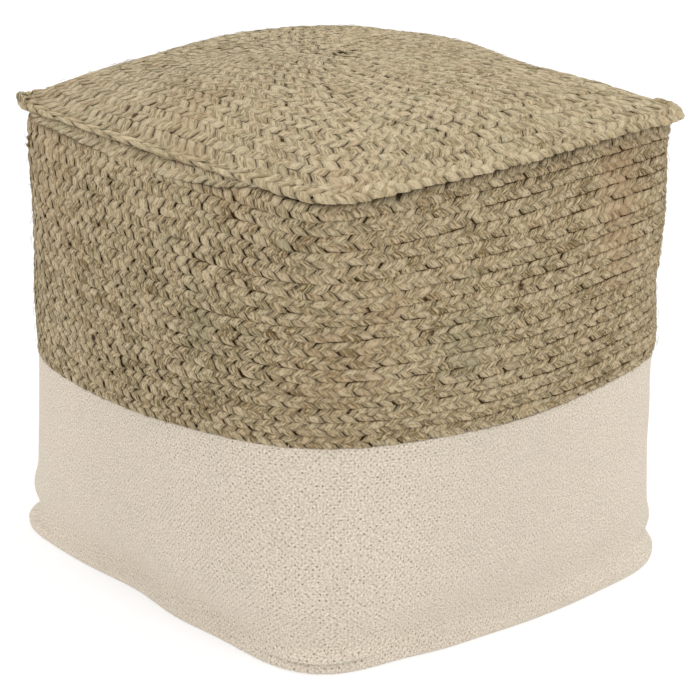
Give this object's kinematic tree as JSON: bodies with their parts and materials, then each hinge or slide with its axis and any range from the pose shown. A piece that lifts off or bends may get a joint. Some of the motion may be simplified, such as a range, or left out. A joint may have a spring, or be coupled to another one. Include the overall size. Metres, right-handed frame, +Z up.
{
  "type": "rectangular pouf",
  "caption": "Crowned square floor pouf of coiled and stacked flat jute braid on a deep band of fine pale cotton braid, with a braided edge round the top.",
  "frame": {"origin": "on the floor, under the middle of the pouf", "axes": "+Z up; the near face looks along -Y and the right face along +X"},
  "size_m": [0.5276, 0.5199, 0.496],
  "materials": {
    "cotton_base": "plain woven cotton, matt",
    "cotton_braid": "fine braided cotton in sewn rows, ivory, matt",
    "jute_braid": "three-strand flat braid of natural jute, matt with a slight fibre sheen",
    "jute_edge": "fuller braid of natural jute, matt",
    "jute_top": "coiled flat braid of natural jute, a little paler, matt"
  },
  "bodies": {
    "root": {"base_panel": "cotton_base", "cotton_band": "cotton_braid", "jute_wall": "jute_braid", "top_edge_braid": "jute_edge", "top_panel": "jute_top"}
  },
  "joints": []
}
